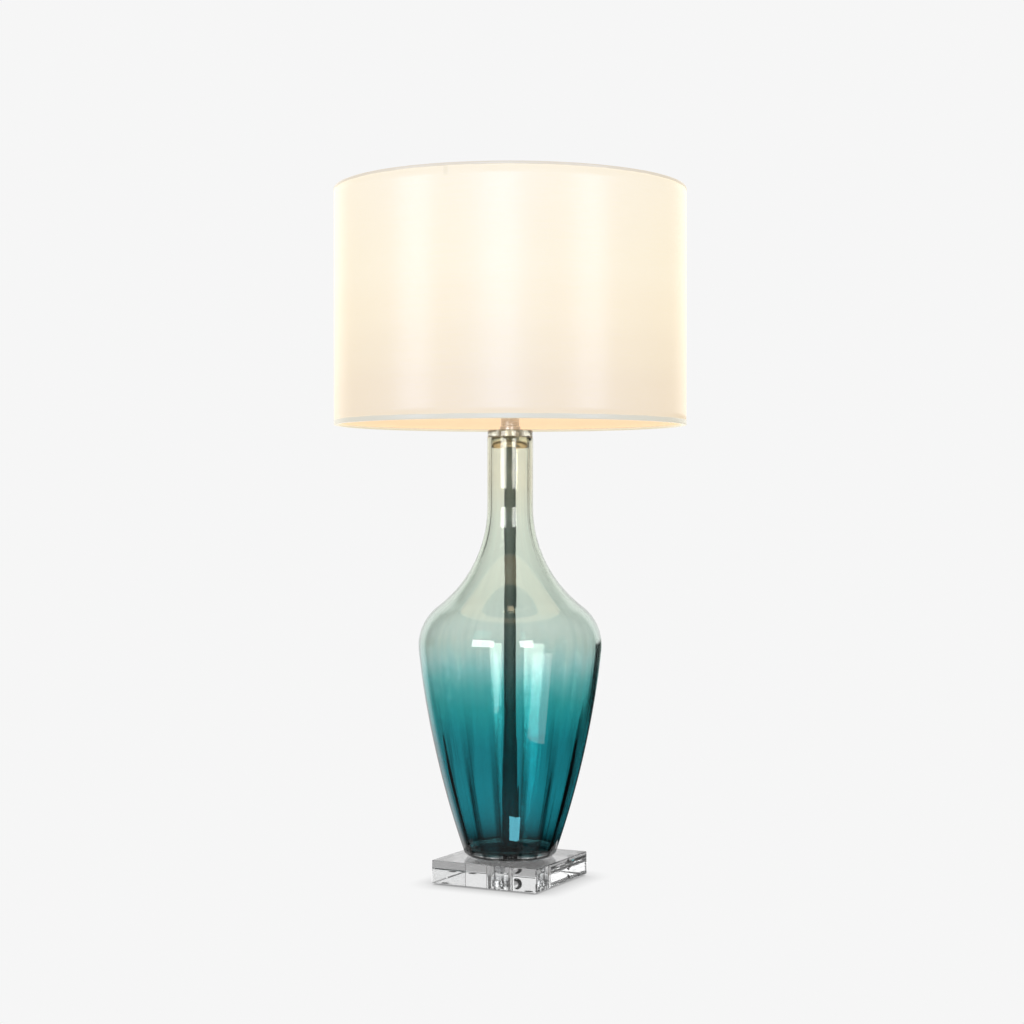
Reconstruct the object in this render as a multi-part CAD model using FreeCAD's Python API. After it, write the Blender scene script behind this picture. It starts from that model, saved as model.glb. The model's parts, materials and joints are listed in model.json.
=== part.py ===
import FreeCAD, Part
import math
import os

# Table lamp: crystal base, blown glass body on a threaded rod, lamp socket, harp and drum shade.
# Units are millimetres. +Z is up, the origin is on the table at the centre of the base, and the
# faces of the base lie along X and Y. The base's cord hole faces +Y and the switch knob faces -Y.

V = FreeCAD.Vector
UP = V(0, 0, 1)

# Base
FOOT_R = 5.0
FOOT_H = 1.5
FOOT_INSET = 12.5
FOOT_EDGE = 0.5
BASE_SIDE = 125.0
BASE_H = 25.0
BASE_EDGE = 0.8
BASE_WEB = 6.0
BASE_BORE_R = 15.9
BASE_PLUG_H = 3.5
BASE_PLUG_FIT = 0.15
BASE_PLUG_EDGE = 0.5
BASE_TOP = FOOT_H + BASE_H
WEB_Z = BASE_TOP - BASE_WEB

# Cord hole in the back face of the base
CORD_HOLE_R = 4.0
CORD_HOLE_Z = 10.0
GROMMET_BORE_R = 3.2
GROMMET_FLANGE_R = 6.0
GROMMET_FLANGE_H = 1.5
GROMMET_STEM = 10.0
GROMMET_FIT = 0.1

# Threaded rod and its fasteners
ROD_R = 5.0
ROD_BORE_R = 3.3
ROD_FIT = 0.2
ROD_CLEARANCE = 0.4
ROD_INTO_SOCKET = 9.0
THREAD_PITCH = 1.0
THREAD_DEPTH = 0.5
THREAD_RUNOUT = 1.0
THREAD_FIT = 0.05
ROD_END_Z = 10.5
WASHER_R = 12.0
WASHER_H = 1.6
LOCK_WASHER_R = 8.2
LOCK_WASHER_H = 1.2
LOCK_WASHER_SPLIT = 1.2
NUT_ACROSS_FLATS = 14.0
NUT_H = 5.0
LOCK_NUT_H = 3.5

# Glass body: neck, flare, shoulder, side and foot corner are arcs that meet at tangents
GASKET_H = 0.8
GASKET_BORE_R = 12.0
GASKET_R = 38.0
GLASS_FOOT_Z = BASE_TOP + GASKET_H
GLASS_TOP_Z = 480.8
GLASS_WALL = 5.0
GLASS_FLOOR = 9.5
GLASS_HOLE_R = 6.2
LIP_R = 1.2
NECK_R = 24.9
NECK_START_Z = 405.0
FLARE_R = 135.0
BELLY_R = 99.4
BELLY_Z = 255.0
SIDE_R = 960.0
SIDE_START_DEG = 6.0
FOOT_CORNER_R = 9.0
FLOOR_CORNER_R = 6.0
FLOOR_Z = GLASS_FOOT_Z + GLASS_FLOOR
BUSH_R = 12.0
BUSH_H = 2.0
BUSH_FIT = 0.2

# Cap on the neck and the chrome tube above it
CAP_GASKET_H = 0.5
CAP_R = 24.5
CAP_H = 7.0
CAP_EDGE = 1.6
CAP_PLUG_R = 19.5
CAP_PLUG_H = 12.5
CAP_DISH = 8.0
CAP_FIT = 0.15
CAP_Z = GLASS_TOP_Z + CAP_GASKET_H
CAP_TOP = CAP_Z + CAP_H
TUBE_SEAT_DEPTH = 8.3
TUBE_SEAT_Z = CAP_TOP - TUBE_SEAT_DEPTH
TUBE_R = 10.0
TUBE_WALL = 1.5
TUBE_END_H = 2.0
TUBE_END_BEND = 0.8
TUBE_END_BORE_R = 5.3
TUBE_TOP = 517.5
COLLAR_R = 11.2
COLLAR_H = 4.4
COLLAR_FIT = 0.1
SLEEVE_R = 6.35
SLEEVE_WALL = 0.85
SLEEVE_PLAY = 0.2

# Harp
TUBE_WASHER_H = 1.0
TUBE_WASHER_R = 10.4
SADDLE_Z = TUBE_TOP + TUBE_WASHER_H
SADDLE_H = 1.5
SADDLE_HALF = 29.5
SADDLE_END = 5.2
SADDLE_WAIST = 7.5
SADDLE_WAIST_X = 12.0
EAR_H = 13.0
EAR_HALF = 2.5
EAR_THICK = 1.5
HARP_FOOT_GAP = 0.2
LEG_X = 26.0
HARP_WIRE_R = 1.6
HARP_SEAT_Z = SADDLE_Z + 216.0
HARP_BOW_X = 58.0
HARP_EYE_DROP = 2.35
CLIP_HALF = 7.0
CLIP_DEPTH = 4.5
CLIP_H = 4.4
CLIP_CORNER = 2.0
CLIP_GAP = 0.15
FERRULE_X = 25.15
FERRULE_R = 4.7
FERRULE_BORE_R = 3.7
FERRULE_H = 14.0
STUD_R = 3.1
STUD_H = 12.5
SHOULDER_R = 7.5
SHOULDER_H = 2.3
RIVET_R = 2.05
RIVET_HEAD_R = 3.6
RIVET_HEAD_H = 1.3
RIVET_LENGTH = 4.7

# Socket, switch and bulb
SOCKET_Z = SADDLE_Z + SADDLE_H + LOCK_NUT_H
SOCKET_CAP_R = 17.0
SOCKET_SHELL_R = 16.2
SOCKET_WALL = 0.7
SOCKET_LIP_R = 14.8
SOCKET_LIP_H = 0.8
SOCKET_BODY_R = 14.7
SOCKET_BODY_LOW = SOCKET_Z + 16.0
SOCKET_BODY_TOP = SOCKET_Z + 38.0
SET_SCREW_Z = SOCKET_Z + 2.5
TERMINAL_Z = SOCKET_Z + 25.0
SOCKET_TOP = SOCKET_Z + 60.0
SWITCH_Z = SOCKET_Z + 31.0
SHAFT_R = 1.8
SHAFT_START = 6.1
SHAFT_LENGTH = 26.0
SHAFT_HOLE_R = 2.4
KNOB_R = 5.5
KNOB_START = 22.0
KNOB_END = 41.0
KNOB_EDGE = 1.2
KNOB_TAPER = 0.6
KNOB_BORE = 10.1
KNOB_RIBS = 12
KNOB_GROOVE_R = 0.7
BULB_TIP_Z = SOCKET_Z + 41.6
BULB_R = 30.0
BULB_LENGTH = 108.0
BULB_WALL = 0.8
BULB_NECK_R = 12.0
BULB_NECK_RISE = 26.0
SCREW_R = 13.0
SCREW_PITCH = 3.6
SCREW_WALL = 0.5

# Shade
SHADE_R = 190.8
SHADE_BOTTOM = 493.0
SHADE_TOP = 747.8
SKIN_H = 0.5
SKIN_GAP = 0.05
SKIN_INSET = 0.5
SKIN_END = 0.6
RING_WIRE_R = 1.3
HEM_TOP = 4.4
HEM_BOTTOM = 6.5
HEM_TAPE = 0.45
HEM_BEND = 0.4
HEM_DEPTH = 5.0
HEM_INNER_LEG = 2.8
SPIDER_WIRE_R = 1.6
SPIDER_HUB_R = 13.0
SPIDER_HOLE_R = 5.5
SPIDER_HUB_H = 1.6
SPIDER_ARMS = 3
SPIDER_DEG = -82.5
SPIDER_BEND = 4.0
SPIDER_INSET = 6.0
SEAM_DEG = 117.0
SEAM_WIDTH = 12.0
SEAM_H = 0.35
SEAM_GAP = 0.2

# Finial
FINIAL_BASE_R = 7.0
FINIAL_BALL_R = 9.0
FINIAL_NECK_R = 4.9
FINIAL_BALL_RISE = 14.5
FINIAL_Z = HARP_SEAT_Z + SPIDER_HUB_H + 0.1
INSERT_R = 4.2
INSERT_H = 12.4
STUD_FIT = 0.15


def line(a, b):
    """Straight edge between two (radius, height) points."""
    return Part.LineSegment(V(a[0], 0, a[1]), V(b[0], 0, b[1])).toShape()


def polar(centre, radius, degrees):
    """Point at an angle on a circle in the radius-height plane."""
    turn = math.radians(degrees)
    return (centre[0] + radius * math.cos(turn), centre[1] + radius * math.sin(turn))


def arc(centre, radius, start, end):
    """Circular edge from one angle to another, in degrees."""
    ends = [polar(centre, radius, d) for d in (start, (start + end) / 2, end)]
    return Part.Arc(*[V(r, 0, z) for r, z in ends]).toShape()


def arc_through(a, b, c):
    """Circular edge through three (radius, height) points."""
    return Part.Arc(*[V(r, 0, z) for r, z in (a, b, c)]).toShape()


def end_of(edge, last=True):
    """The (radius, height) of an edge's last or first point."""
    point = edge.valueAt(edge.LastParameter if last else edge.FirstParameter)
    return (point.x, point.z)


def revolved(edges):
    """Solid of revolution about Z from a closed outline of edges."""
    face = Part.Face(Part.Wire(Part.__sortEdges__(edges)))
    return face.revolve(V(0, 0, 0), UP, 360)


def turned(points):
    """Solid of revolution about Z from a closed outline of straight edges."""
    return revolved([line(a, b) for a, b in zip(points, points[1:] + points[:1])])


def ring(inner, outer, low, high):
    """Round ring, or a disc where the inner radius is 0."""
    body = Part.makeCylinder(outer, high - low, V(0, 0, low))
    if inner > 0:
        body = body.cut(Part.makeCylinder(inner, high - low, V(0, 0, low)))
    return body


def block(low, high):
    """Box between two corners."""
    size = V(*high) - V(*low)
    return Part.makeBox(size.x, size.y, size.z, V(*low))


def fused(shapes):
    """One solid from several that touch or overlap."""
    return shapes[0].multiFuse(shapes[1:]).removeSplitter()


def lying(shape, degrees, height):
    """Turns a shape made about Z so that its axis points outwards at an angle round the lamp."""
    laid = shape.copy()
    laid.rotate(V(0, 0, 0), V(0, 1, 0), 90)
    laid.rotate(V(0, 0, 0), UP, degrees)
    laid.translate(V(0, 0, height))
    return laid


def around(shape, count, start=0.0):
    """Copies of a shape, evenly spaced round Z."""
    copies = []
    for i in range(count):
        copy = shape.copy()
        copy.rotate(V(0, 0, 0), UP, start + i * 360.0 / count)
        copies.append(copy)
    return copies


def thread_side(radius, low, high, depth=THREAD_DEPTH, pitch=THREAD_PITCH):
    """Points up the outside of a thread, drawn as rings so that it can turn in its mate."""
    points = []
    turns = int((high - low) / pitch)
    for i in range(turns):
        foot = low + i * pitch
        points += [(radius - depth, foot), (radius, foot + pitch / 2)]
    return points + [(radius - depth, low + turns * pitch)]


def hex_nut(low, height, bore):
    """Hexagon nut with its corners bevelled at both faces."""
    corner = NUT_ACROSS_FLATS / math.sqrt(3)
    points = [V(corner * math.cos(math.radians(60 * i)), corner * math.sin(math.radians(60 * i)), low)
              for i in range(7)]
    nut = Part.Face(Part.makePolygon(points)).extrude(V(0, 0, height))
    flat = NUT_ACROSS_FLATS / 2
    bevel = (corner - flat) / 2
    high = low + height
    envelope = turned([(0, low), (flat, low), (corner, low + bevel), (corner, high - bevel),
                       (flat, high), (0, high)])
    return nut.common(envelope).cut(Part.makeCylinder(bore, height, V(0, 0, low)))


def rounded_path(points, radii):
    """Wire through points in the XZ plane, with an arc of the given radius at each inner corner."""
    spots = [V(x, 0, z) for x, z in points]
    edges = []
    start = spots[0]
    for before, corner, after, radius in zip(spots, spots[1:], spots[2:], radii):
        inward = (before - corner).normalize()
        outward = (after - corner).normalize()
        half = inward.getAngle(outward) / 2
        reach = radius / math.tan(half)
        middle = (inward + outward).normalize() * (radius / math.sin(half) - radius)
        first = corner + inward * reach
        last = corner + outward * reach
        edges.append(Part.LineSegment(start, first).toShape())
        edges.append(Part.Arc(first, corner + middle, last).toShape())
        start = last
    edges.append(Part.LineSegment(start, spots[-1]).toShape())
    return Part.Wire(edges)


def wire_along(path, radius):
    """Round wire swept along a path."""
    first = path.Edges[0]
    way = first.tangentAt(first.FirstParameter)
    circle = Part.Circle(first.valueAt(first.FirstParameter), way, radius)
    return path.makePipeShell([Part.Wire(circle.toShape())], True, True)


# Base ------------------------------------------------------------------------------------------

def base_block():
    half = BASE_SIDE / 2
    body = block((-half, -half, FOOT_H), (half, half, BASE_TOP))
    body = body.makeChamfer(BASE_EDGE, body.Edges)
    bore = Part.makeCylinder(BASE_BORE_R, BASE_H - BASE_WEB, V(0, 0, FOOT_H))
    rod_hole = Part.makeCylinder(ROD_R + ROD_CLEARANCE, BASE_H, V(0, 0, FOOT_H))
    cord_hole = Part.makeCylinder(CORD_HOLE_R, half, V(0, 0, CORD_HOLE_Z), V(0, 1, 0))
    return body.cut(bore).cut(rod_hole).cut(cord_hole)


def base_feet():
    at = BASE_SIDE / 2 - FOOT_INSET
    foot = turned([(0, 0), (FOOT_R - FOOT_EDGE, 0), (FOOT_R, FOOT_EDGE), (FOOT_R, FOOT_H), (0, FOOT_H)])
    feet = []
    for x, y in ((at, at), (-at, at), (-at, -at), (at, -at)):
        placed = foot.copy()
        placed.translate(V(x, y, 0))
        feet.append(placed)
    return Part.makeCompound(feet)


def base_plug():
    radius = BASE_BORE_R - BASE_PLUG_FIT
    high = FOOT_H + BASE_PLUG_H
    edge = BASE_PLUG_EDGE
    return turned([(0, FOOT_H), (radius - edge, FOOT_H), (radius, FOOT_H + edge), (radius, high - edge),
                   (radius - edge, high), (0, high)])


def base_washer():
    return ring(ROD_R + ROD_FIT, WASHER_R, WEB_Z - WASHER_H, WEB_Z)


def base_lock_washer():
    high = WEB_Z - WASHER_H
    low = high - LOCK_WASHER_H
    washer = ring(ROD_R + ROD_FIT, LOCK_WASHER_R, low, high)
    split = block((0, -LOCK_WASHER_SPLIT / 2, low), (LOCK_WASHER_R + 1, LOCK_WASHER_SPLIT / 2, high))
    return washer.cut(split)


def base_nut():
    high = WEB_Z - WASHER_H - LOCK_WASHER_H
    return hex_nut(high - NUT_H, NUT_H, ROD_R + THREAD_FIT)


def cord_grommet():
    flange = ring(GROMMET_BORE_R, GROMMET_FLANGE_R, 0, GROMMET_FLANGE_H)
    stem = ring(GROMMET_BORE_R, CORD_HOLE_R - GROMMET_FIT, -GROMMET_STEM, 0)
    grommet = fused([flange, stem])
    grommet.translate(V(0, 0, BASE_SIDE / 2))
    return lying(grommet, 90, CORD_HOLE_Z)


def body_gasket():
    return ring(GASKET_BORE_R, GASKET_R, BASE_TOP, GLASS_FOOT_Z)


# Glass body ------------------------------------------------------------------------------------

def vessel_side(inset, bottom, corner_r, top):
    """Edges of the vessel's outline from the neck down to the foot, moved in by inset."""
    flare_at = (NECK_R + FLARE_R, NECK_START_Z)
    rise = NECK_START_Z - BELLY_Z
    reach = FLARE_R + NECK_R - BELLY_R
    shoulder_r = (rise ** 2 + reach ** 2 - FLARE_R ** 2) / (2 * (FLARE_R - reach))
    shoulder_at = (BELLY_R - shoulder_r, BELLY_Z)
    lean = math.degrees(math.atan2(rise, flare_at[0] - shoulder_at[0]))
    side_at = polar(shoulder_at, SIDE_R - shoulder_r, 180 - SIDE_START_DEG)
    inner_r = SIDE_R - inset
    drop = side_at[1] - bottom - corner_r
    corner_at = (side_at[0] + math.sqrt((inner_r - corner_r) ** 2 - drop ** 2), bottom + corner_r)
    low_deg = -math.degrees(math.asin(drop / (inner_r - corner_r)))
    neck = (NECK_R - inset, NECK_START_Z)
    return [
        line((NECK_R - inset, top), neck),
        arc(flare_at, FLARE_R + inset, 180, 180 + lean),
        arc(shoulder_at, shoulder_r - inset, lean, -SIDE_START_DEG),
        arc(side_at, inner_r, -SIDE_START_DEG, low_deg),
        arc(corner_at, corner_r, low_deg, -90),
    ]


def glass_body():
    lip_z = GLASS_TOP_Z - LIP_R
    neck_in = NECK_R - GLASS_WALL
    outside = vessel_side(0, GLASS_FOOT_Z, FOOT_CORNER_R, lip_z)
    inside = vessel_side(GLASS_WALL, FLOOR_Z, FLOOR_CORNER_R, lip_z)
    lip = [
        arc((NECK_R - LIP_R, lip_z), LIP_R, 0, 90),
        line((NECK_R - LIP_R, GLASS_TOP_Z), (neck_in + LIP_R, GLASS_TOP_Z)),
        arc((neck_in + LIP_R, lip_z), LIP_R, 90, 180),
    ]
    floor = [
        line(end_of(outside[-1]), (GLASS_HOLE_R, GLASS_FOOT_Z)),
        line((GLASS_HOLE_R, GLASS_FOOT_Z), (GLASS_HOLE_R, FLOOR_Z)),
        line((GLASS_HOLE_R, FLOOR_Z), end_of(inside[-1])),
    ]
    return revolved(outside + floor + inside + lip)


def bottom_bush():
    stem = ring(ROD_R + ROD_FIT, GLASS_HOLE_R - BUSH_FIT, GLASS_FOOT_Z, FLOOR_Z)
    flange = ring(ROD_R + ROD_FIT, BUSH_R, FLOOR_Z, FLOOR_Z + BUSH_H)
    return fused([stem, flange])


# Stem ------------------------------------------------------------------------------------------

def threaded_rod():
    plain_low = BASE_TOP + THREAD_RUNOUT
    plain_high = TUBE_TOP - THREAD_RUNOUT
    side = thread_side(ROD_R, ROD_END_Z, BASE_TOP) + [(ROD_R, plain_low), (ROD_R, plain_high)]
    side += thread_side(ROD_R, TUBE_TOP, SOCKET_Z + ROD_INTO_SOCKET)
    return turned([(ROD_BORE_R, ROD_END_Z)] + side + [(ROD_BORE_R, side[-1][1])])


def rod_sleeve():
    return ring(SLEEVE_R - SLEEVE_WALL, SLEEVE_R, FLOOR_Z + BUSH_H, TUBE_SEAT_Z - SLEEVE_PLAY)


def cap_gasket():
    return ring(CAP_PLUG_R + 0.5, CAP_R - 0.3, GLASS_TOP_Z, CAP_Z)


def neck_cap():
    """Clear disc with a plug below it, dished underneath, that centres it in the neck."""
    plug_z = CAP_Z - CAP_PLUG_H
    shoulder = (CAP_R - CAP_EDGE, CAP_TOP - CAP_EDGE)
    hole = SLEEVE_R + CAP_FIT
    seat = TUBE_R + CAP_FIT
    inner = (hole, plug_z + CAP_DISH)
    middle = ((hole + CAP_PLUG_R) / 2, plug_z + CAP_DISH * 0.7)
    outer = (CAP_PLUG_R, plug_z)
    return revolved([
        line((seat, CAP_TOP), (seat, TUBE_SEAT_Z)),
        line((seat, TUBE_SEAT_Z), (hole, TUBE_SEAT_Z)),
        line((hole, TUBE_SEAT_Z), inner),
        arc_through(inner, middle, outer),
        line(outer, (CAP_PLUG_R, CAP_Z)),
        line((CAP_PLUG_R, CAP_Z), (CAP_R, CAP_Z)),
        line((CAP_R, CAP_Z), (CAP_R, shoulder[1])),
        arc(shoulder, CAP_EDGE, 0, 90),
        line((shoulder[0], CAP_TOP), (seat, CAP_TOP)),
    ])


def neck_tube():
    bend = TUBE_END_BEND
    seat = TUBE_SEAT_Z
    shelf = seat + TUBE_END_H
    inner = TUBE_END_BORE_R
    points = [(TUBE_R, seat + bend), (TUBE_R, TUBE_TOP), (TUBE_R - TUBE_WALL, TUBE_TOP),
              (TUBE_R - TUBE_WALL, shelf), (inner, shelf), (inner, seat), (TUBE_R - bend, seat)]
    edges = [line(a, b) for a, b in zip(points, points[1:])]
    edges.append(arc((TUBE_R - bend, seat + bend), bend, -90, 0))
    return revolved(edges)


def neck_collar():
    high = CAP_TOP + COLLAR_H
    inner = TUBE_R + COLLAR_FIT
    bend = COLLAR_R - inner
    edges = [
        line((inner, CAP_TOP), (COLLAR_R, CAP_TOP)),
        line((COLLAR_R, CAP_TOP), (COLLAR_R, high - bend)),
        arc((inner, high - bend), bend, 0, 90),
        line((inner, high), (inner, CAP_TOP)),
    ]
    return revolved(edges)


def tube_washer():
    return ring(ROD_R + ROD_FIT, TUBE_WASHER_R, TUBE_TOP, SADDLE_Z)


# Harp ------------------------------------------------------------------------------------------

def harp_saddle():
    side = [(SADDLE_HALF, SADDLE_END), (SADDLE_WAIST_X, SADDLE_WAIST), (-SADDLE_WAIST_X, SADDLE_WAIST),
            (-SADDLE_HALF, SADDLE_END)]
    corners = side + [(-x, -y) for x, y in side] + side[:1]
    outline = Part.makePolygon([V(x, y, SADDLE_Z) for x, y in corners])
    strip = Part.Face(outline).extrude(V(0, 0, SADDLE_H))
    inside = LEG_X - HARP_WIRE_R - HARP_FOOT_GAP
    ear_top = SADDLE_Z + SADDLE_H + EAR_H
    ear = block((inside - EAR_THICK, -EAR_HALF, SADDLE_Z), (inside, EAR_HALF, ear_top))
    body = fused([strip] + around(ear, 2))
    return body.cut(Part.makeCylinder(ROD_R + ROD_FIT, SADDLE_H, V(0, 0, SADDLE_Z)))


def saddle_nut():
    return hex_nut(SADDLE_Z + SADDLE_H, LOCK_NUT_H, ROD_R + THREAD_FIT)


def harp_loop():
    """Two bent wires: straight legs, a bow round the bulb, and a run in to the clip at the top."""
    foot = SADDLE_Z + SADDLE_H + HARP_FOOT_GAP
    eye = HARP_SEAT_Z - SHOULDER_H - HARP_EYE_DROP
    leg_top = (LEG_X, foot + 52)
    bow_low = (HARP_BOW_X, foot + 112)
    bow_high = (HARP_BOW_X, foot + 150)
    crown = (LEG_X + 6, eye)
    bends = [60, 60, 55, 18]
    path = rounded_path([(LEG_X, foot), leg_top, bow_low, bow_high, crown, (CLIP_HALF, eye)], bends)
    return Part.makeCompound(around(wire_along(path, HARP_WIRE_R), 2))


def harp_clip():
    high = HARP_SEAT_Z - SHOULDER_H - CLIP_GAP
    low = high - CLIP_H
    body = block((-CLIP_HALF, -CLIP_DEPTH, low), (CLIP_HALF, CLIP_DEPTH, high))
    upright = [e for e in body.Edges if abs(e.tangentAt(e.FirstParameter).z) > 0.9]
    body = body.makeFillet(CLIP_CORNER, upright)
    return body.cut(Part.makeCylinder(RIVET_R + 0.1, CLIP_H, V(0, 0, low)))


def ferrule(side):
    low = SADDLE_Z + SADDLE_H + HARP_FOOT_GAP
    tube = ring(FERRULE_BORE_R, FERRULE_R, low, low + FERRULE_H)
    tube.translate(V(side * FERRULE_X, 0, 0))
    return tube


def harp_swivel():
    shoulder_z = HARP_SEAT_Z - SHOULDER_H
    head_z = shoulder_z - RIVET_LENGTH
    foot_z = head_z - RIVET_HEAD_H
    bevel = RIVET_HEAD_H / 2
    stud = thread_side(STUD_R, HARP_SEAT_Z, HARP_SEAT_Z + STUD_H, depth=0.35)
    points = [(0, foot_z), (RIVET_HEAD_R - bevel, foot_z), (RIVET_HEAD_R, foot_z + bevel),
              (RIVET_HEAD_R, head_z), (RIVET_R, head_z), (RIVET_R, shoulder_z), (SHOULDER_R, shoulder_z),
              (SHOULDER_R, HARP_SEAT_Z)]
    return turned(points + stud + [(0, stud[-1][1])])


# Socket ----------------------------------------------------------------------------------------

def across(radius, degrees, height, length=20.0, start=0.0):
    """Cylinder lying outwards from the lamp's axis."""
    return lying(Part.makeCylinder(radius, length, V(0, 0, start)), degrees, height)


def socket_cap():
    neck_r = 7.5
    wall = SOCKET_WALL
    inner = ROD_R + 0.1
    outer = SOCKET_CAP_R
    low, neck, rim, top = (SOCKET_Z + h for h in (0.0, 5.0, 14.0, 23.5))
    edges = [
        line((inner, low), (neck_r, low)),
        line((neck_r, low), (neck_r, neck)),
        arc_through((neck_r, neck), (14.2, neck + 2.5), (outer, rim)),
        line((outer, rim), (outer, top)),
        line((outer, top), (outer - wall, top)),
        line((outer - wall, top), (outer - wall, rim)),
        arc_through((outer - wall, rim), (13.7, neck + 3.1), (neck_r, neck + wall)),
        line((neck_r, neck + wall), (inner, neck + wall)),
        line((inner, neck + wall), (inner, low)),
    ]
    return revolved(edges).cut(across(1.55, 0, SET_SCREW_Z))


def socket_screw():
    shank = Part.makeCylinder(1.5, 2.6, V(0, 0, ROD_R + 0.05))
    head = Part.makeCylinder(2.2, 1.6, V(0, 0, 7.6))
    slot = block((-3, -0.25, 8.6), (3, 0.25, 9.3))
    return lying(fused([shank, head]).cut(slot), 0, SET_SCREW_Z)


def socket_shell():
    inner = SOCKET_SHELL_R - SOCKET_WALL
    low = SOCKET_Z + 15.5
    tube = ring(inner, SOCKET_SHELL_R, low, SOCKET_TOP)
    lip = ring(SOCKET_LIP_R, SOCKET_SHELL_R, SOCKET_TOP, SOCKET_TOP + SOCKET_LIP_H)
    return fused([tube, lip]).cut(across(SHAFT_HOLE_R, -90, SWITCH_Z))


def socket_insulator():
    outer = SOCKET_SHELL_R - SOCKET_WALL - 0.1
    tube = ring(outer - 0.5, outer, SOCKET_BODY_LOW, SOCKET_TOP - 0.2)
    return tube.cut(across(SHAFT_HOLE_R, -90, SWITCH_Z))


def socket_body():
    low, high = SOCKET_BODY_LOW, SOCKET_BODY_TOP
    body = ring(0, SOCKET_BODY_R, low, high)
    pocket = block((11.0, -4.0, low + 2), (16.0, 4.0, high - 4))
    body = body.cut(across(SHAFT_R + 0.08, -90, SWITCH_Z, start=SHAFT_START - 0.2))
    return body.cut(Part.makeCompound(around(pocket, 2)))


def terminal_screws():
    head = Part.makeCylinder(2.8, 2.0, V(0, 0, 11.0))
    slot = block((-3, -0.3, 12.3), (3, 0.3, 13.2))
    screw = lying(head.cut(slot), 0, TERMINAL_Z)
    return Part.makeCompound(around(screw, 2))


def socket_screw_shell():
    low = SOCKET_BODY_TOP
    wave = thread_side(SOCKET_BODY_R - 0.1, low, SOCKET_TOP - 1.0, depth=0.5, pitch=SCREW_PITCH)
    inner = [(r - 0.55, z) for r, z in reversed(wave)]
    return turned(wave + inner)


def socket_contact():
    low = SOCKET_BODY_TOP
    foot = block((-9.0, -2.5, low), (-1.0, 2.5, low + 0.6))
    riser = block((-9.0, -2.5, low), (-8.4, 2.5, low + 3.4))
    tongue = block((-9.0, -2.5, low + 2.8), (3.0, 2.5, low + 3.4))
    return fused([foot, riser, tongue])


# Switch ----------------------------------------------------------------------------------------

def switch_shaft():
    return across(SHAFT_R, -90, SWITCH_Z, length=SHAFT_LENGTH, start=SHAFT_START)


def switch_knob():
    low, high, edge = KNOB_START, KNOB_END, KNOB_EDGE
    end_r = KNOB_R - KNOB_TAPER
    knob = turned([(0, low), (KNOB_R - edge, low), (KNOB_R, low + edge), (end_r, high - edge),
                   (end_r - edge, high), (0, high)])
    groove = Part.makeCylinder(KNOB_GROOVE_R, high - low + 2, V(KNOB_R + 0.25, 0, low - 1))
    knob = knob.cut(Part.makeCompound(around(groove, KNOB_RIBS)))
    bore = Part.makeCylinder(SHAFT_R + 0.02, KNOB_BORE, V(0, 0, low))
    return lying(knob.cut(bore), -90, SWITCH_Z)


# Bulb ------------------------------------------------------------------------------------------

def bulb_contact():
    low = BULB_TIP_Z
    return turned([(0, low), (2.2, low), (3.4, low + 0.9), (3.4, low + 1.6), (0, low + 1.6)])


def bulb_insulator():
    low = BULB_TIP_Z + 1.0
    return turned([(3.5, low), (4.6, low), (10.0, low + 3.3), (10.0, low + 4.4), (0, low + 4.4),
                   (0, low + 0.7), (3.5, low + 0.7)])


def bulb_base():
    low = BULB_TIP_Z + 4.7
    wave = thread_side(SCREW_R, low, low + 18.0, depth=0.6, pitch=SCREW_PITCH)
    outer = [(10.8, low - 0.2)] + wave + [(13.3, low + 20.5), (13.3, low + 22.5)]
    inner = [(r - SCREW_WALL, z) for r, z in reversed(outer)]
    return turned(outer + inner)


def bulb_profile(inset):
    """Outline of the bulb's envelope from its neck to its crown, moved in by inset."""
    top = BULB_TIP_Z + BULB_LENGTH
    globe_z = top - BULB_R
    neck_z = BULB_TIP_Z + BULB_NECK_RISE
    radius = BULB_R - inset
    neck_r = BULB_NECK_R - inset
    globe_deg = -28.0
    waist = polar((0, globe_z), radius, globe_deg)
    middle = ((waist[0] + neck_r) / 2 - 1.6, (waist[1] + neck_z) / 2)
    return [
        arc_through((neck_r, neck_z), middle, waist),
        arc((0, globe_z), radius, globe_deg, 90),
    ]


def bulb_glass():
    outside = bulb_profile(0)
    inside = bulb_profile(BULB_WALL)
    return revolved(outside + inside + [
        line(end_of(outside[0], last=False), end_of(inside[0], last=False)),
        line(end_of(outside[1]), end_of(inside[1])),
    ])


def bulb_stem():
    low = BULB_TIP_Z + BULB_NECK_RISE + 0.5
    return turned([(0, low), (9.0, low), (9.0, low + 4), (5.0, low + 12), (4.0, low + 44), (3.0, low + 46),
                   (0, low + 46)])


# Shade -----------------------------------------------------------------------------------------

def skin(outer):
    """A layer of the shade's wall, between the two hems."""
    return ring(outer - SKIN_H, outer, SHADE_BOTTOM + SKIN_END, SHADE_TOP - SKIN_END)


def shade_fabric():
    return skin(SHADE_R - SKIN_INSET)


def shade_liner():
    return skin(SHADE_R - SKIN_INSET - SKIN_H - SKIN_GAP)


def wire_ring(height):
    """One of the wire rings that hold the shade round."""
    inside = SHADE_R - SKIN_INSET - 2 * SKIN_H - SKIN_GAP
    return Part.makeTorus(inside - RING_WIRE_R - 0.15, RING_WIRE_R, V(0, 0, height))


def top_ring():
    return wire_ring(SHADE_TOP - SKIN_END - RING_WIRE_R)


def bottom_ring():
    return wire_ring(SHADE_BOTTOM + SKIN_END + RING_WIRE_R)


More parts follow.
